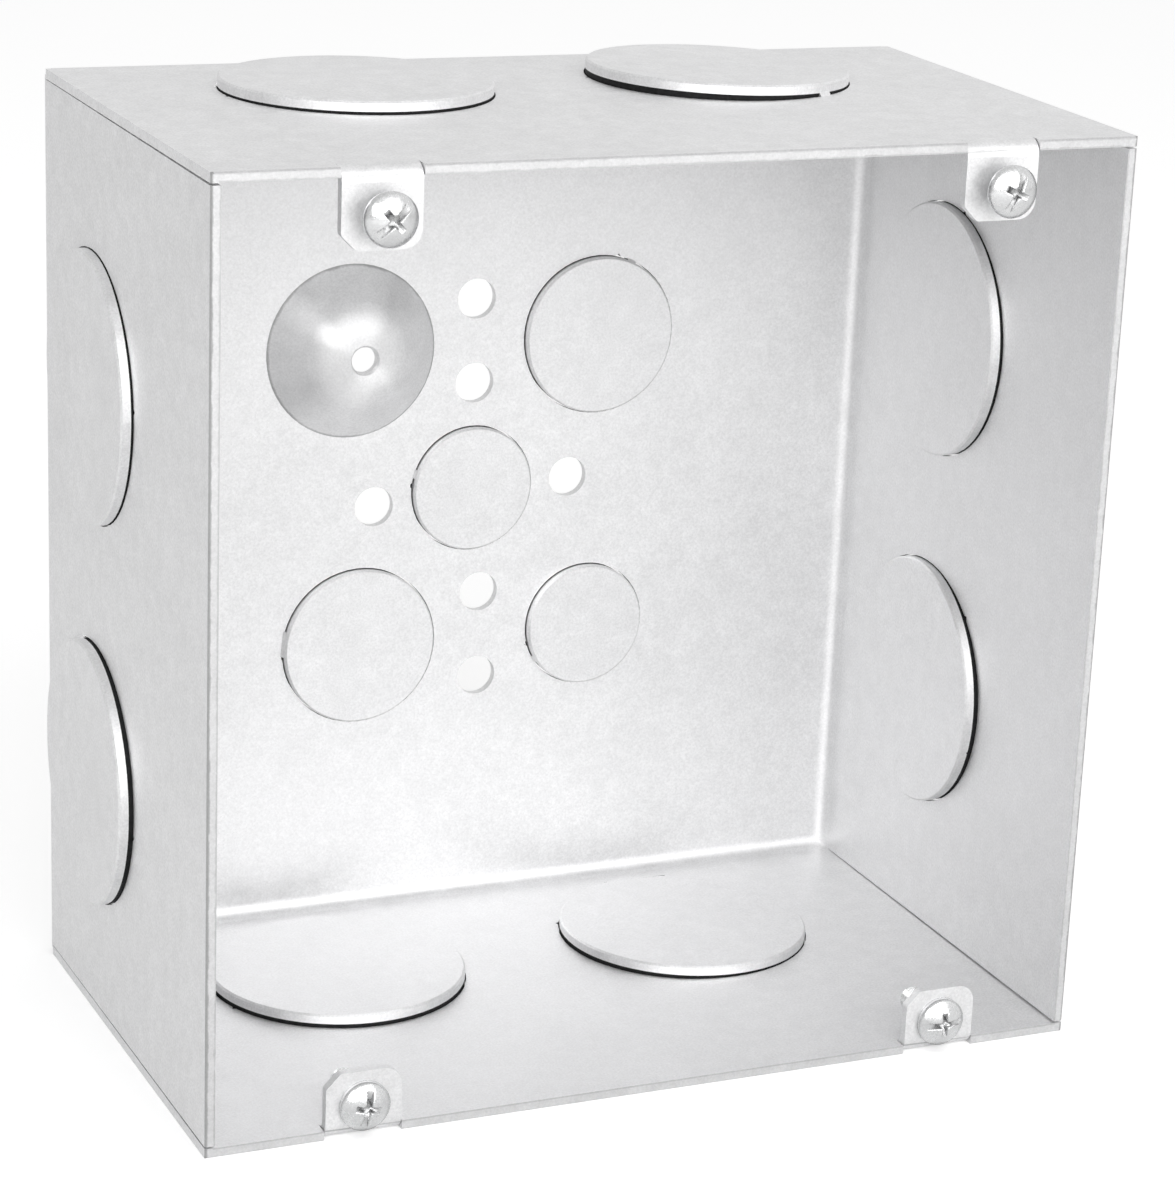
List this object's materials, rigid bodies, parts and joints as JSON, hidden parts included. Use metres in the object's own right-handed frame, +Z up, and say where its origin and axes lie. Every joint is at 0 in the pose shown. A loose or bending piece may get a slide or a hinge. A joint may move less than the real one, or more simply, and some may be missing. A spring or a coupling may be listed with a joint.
{
  "type": "square electrical box",
  "caption": "Square sheet-steel electrical box with an open front, folded cover ears with screws, pushed-out round knockouts and a raised ground boss.",
  "frame": {"origin": "centre of the outside of the bottom wall, which the box stands on", "axes": "+X to the right seen from the open front, +Y from the open front to the back plate, +Z up"},
  "size_m": [0.1533, 0.0943, 0.155],
  "materials": {
    "galvanised_sheet": "satin zinc-coated sheet with fine mottling",
    "zinc_screw": "bright zinc-plated"
  },
  "bodies": {
    "root": {"box_body": "galvanised_sheet", "cover_screw_top_left": "zinc_screw", "cover_screw_top_right": "zinc_screw", "cover_screw_bottom_left": "zinc_screw", "cover_screw_bottom_right": "zinc_screw"}
  },
  "joints": []
}
